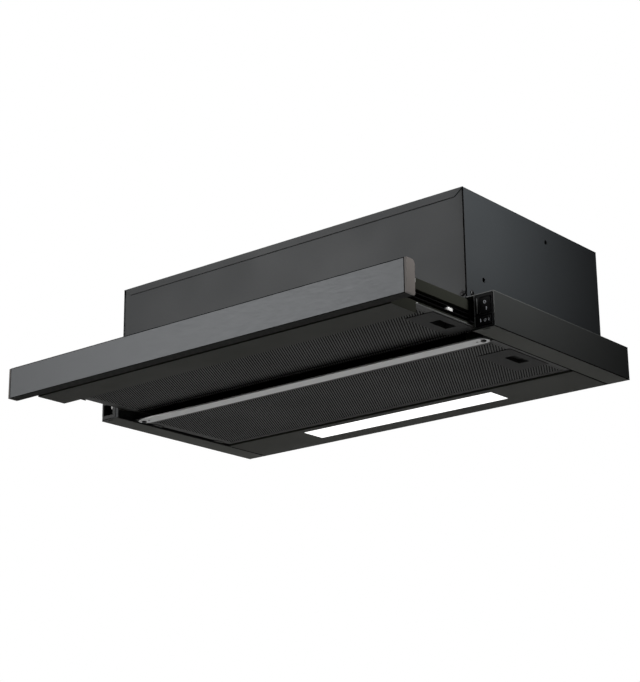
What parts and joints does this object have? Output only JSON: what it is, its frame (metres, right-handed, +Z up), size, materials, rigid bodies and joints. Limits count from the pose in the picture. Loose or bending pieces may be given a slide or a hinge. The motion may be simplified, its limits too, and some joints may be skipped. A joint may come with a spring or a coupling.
{
  "type": "pull out range hood",
  "caption": "Slim hood for a wall cabinet: a pull out carriage with filter and front panel on ball slides under a housing with blower, duct collar, lamp and switches.",
  "frame": {"origin": "on the duct collar's axis, at the top face of its flange, where the duct seats", "axes": "+Z up along the duct collar, +X to the right along the hood's width as seen from its front, +Y from the front panel to the back"},
  "size_m": [0.6, 0.434, 0.1996],
  "materials": {
    "housing_paint": "satin",
    "rail_paint": "satin",
    "fascia_steel": "satin brushed",
    "cap_plastic": "fine texture",
    "carriage_paint": "satin",
    "zinc_steel": "zinc plated",
    "cage_plastic": "moulded",
    "fastener_steel": "plated",
    "bar_aluminium": "satin anodised",
    "filter_paint": "satin",
    "filter_pad": "layers of knitted metal mesh",
    "handle_plastic": "fine texture",
    "switch_plastic": "moulded",
    "end_plastic": "moulded",
    "lens_plastic": "opal, lit",
    "board": "white board",
    "blower_plastic": "moulded",
    "motor_steel": "plain",
    "collar_plastic": "moulded",
    "box_plastic": "moulded"
  },
  "bodies": {
    "root": {"housing_wrap": "housing_paint", "housing_top": "housing_paint", "housing_front_plate": "housing_paint", "housing_screws": "fastener_steel", "rail_right": "rail_paint", "rail_left": "rail_paint", "cross_bar": "bar_aluminium", "cross_bar_screws": "fastener_steel", "rear_panel": "rail_paint", "light_lens": "lens_plastic", "light_tray": "zinc_steel", "led_board": "board", "slide_outer_right": "zinc_steel", "slide_outer_left": "zinc_steel", "switch_box": "switch_plastic", "end_cap_left": "end_plastic", "scroll_right": "blower_plastic", "scroll_left": "blower_plastic", "motor": "motor_steel", "motor_bracket": "zinc_steel", "outlet_collar": "collar_plastic", "collar_screws": "fastener_steel", "flap_spindle": "fastener_steel", "terminal_box": "box_plastic", "terminal_box_lid": "box_plastic", "capacitor": "box_plastic", "led_driver": "box_plastic", "cable_gland": "collar_plastic", "microswitch": "switch_plastic"},
    "carriage": {"fascia": "fascia_steel", "fascia_cap_right": "cap_plastic", "fascia_cap_left": "cap_plastic", "fascia_screws": "fastener_steel", "visor_lip": "carriage_paint", "visor_arm_right": "carriage_paint", "visor_arm_left": "carriage_paint", "visor_cover": "carriage_paint", "slide_inner_right": "zinc_steel", "slide_inner_left": "zinc_steel"},
    "cage_right": {"ball_cage_right": "cage_plastic"},
    "cage_left": {"ball_cage_left": "cage_plastic"},
    "front_filter": {"front_filter_frame": "filter_paint", "front_filter_mesh": "filter_paint", "front_filter_pad": "filter_pad", "front_filter_handle": "handle_plastic"},
    "front_latch": {"front_filter_latch": "handle_plastic"},
    "rear_filter": {"rear_filter_frame": "filter_paint", "rear_filter_mesh": "filter_paint", "rear_filter_pad": "filter_pad", "rear_filter_handle": "handle_plastic"},
    "rear_latch": {"rear_filter_latch": "handle_plastic"},
    "light_rocker": {"light_rocker": "switch_plastic"},
    "speed_rocker": {"speed_rocker": "switch_plastic"},
    "fan_wheel": {"motor_shaft": "fastener_steel", "impeller_right": "blower_plastic", "impeller_left": "blower_plastic"},
    "flap_rear": {"flap_rear": "collar_plastic"},
    "flap_front": {"flap_front": "collar_plastic"},
    "switch_lever": {"microswitch_lever": "switch_plastic"}
  },
  "joints": [
    {"name": "visor_slide", "type": "slide", "parent": "root", "child": "carriage", "axis": [0, 1, 0], "range_m": [0, 0.119]},
    {"name": "cage_slide_right", "type": "slide", "parent": "root", "child": "cage_right", "axis": [0, 1, 0], "range_m": [0, 0.0595]},
    {"name": "cage_slide_left", "type": "slide", "parent": "root", "child": "cage_left", "axis": [0, 1, 0], "range_m": [0, 0.0595]},
    {"name": "front_filter_drop", "type": "hinge", "parent": "carriage", "child": "front_filter", "pos_m": [-0.2642, -0.14, -0.161], "axis": [0, -1, 0], "range_deg": [-60, 0]},
    {"name": "front_latch_slide", "type": "slide", "parent": "front_filter", "child": "front_latch", "axis": [1, 0, 0], "range_m": [-0.004, 0], "stiffness_N_per_m": 300, "springref_m": 0.001},
    {"name": "rear_filter_drop", "type": "hinge", "parent": "root", "child": "rear_filter", "pos_m": [-0.27, -0.14, -0.17], "axis": [0, -1, 0], "range_deg": [-60, 0]},
    {"name": "rear_latch_slide", "type": "slide", "parent": "rear_filter", "child": "rear_latch", "axis": [1, 0, 0], "range_m": [-0.004, 0], "stiffness_N_per_m": 300, "springref_m": 0.001},
    {"name": "light_rocker_tilt", "type": "hinge", "parent": "root", "child": "light_rocker", "pos_m": [0.2896, -0.1385, -0.1454], "axis": [-1, 0, 0], "range_deg": [0, 14]},
    {"name": "speed_rocker_tilt", "type": "hinge", "parent": "root", "child": "speed_rocker", "pos_m": [0.2882, -0.1385, -0.1628], "axis": [0, 0, 1], "range_deg": [-7, 7]},
    {"name": "impeller_spin", "type": "hinge", "parent": "root", "child": "fan_wheel", "pos_m": [0, 0, -0.067], "axis": [1, 0, 0], "continuous": true},
    {"name": "flap_rear_lift", "type": "hinge", "parent": "root", "child": "flap_rear", "pos_m": [0, 0, 0.006], "axis": [1, 0, 0], "range_deg": [0, 75]},
    {"name": "flap_front_lift", "type": "hinge", "parent": "root", "child": "flap_front", "pos_m": [0, 0, 0.006], "axis": [-1, 0, 0], "range_deg": [0, 75]},
    {"name": "microswitch_press", "type": "hinge", "parent": "root", "child": "switch_lever", "pos_m": [0.266, 0.0814, -0.13392], "axis": [1, 0, 0], "range_deg": [0, 8], "stiffness_Nm_per_rad": 0.01, "springref_deg": -5.73}
  ],
  "couplings": [
    {"joint": "cage_slide_right", "follows": "visor_slide", "ratio": 0.5},
    {"joint": "cage_slide_left", "follows": "visor_slide", "ratio": 0.5}
  ]
}
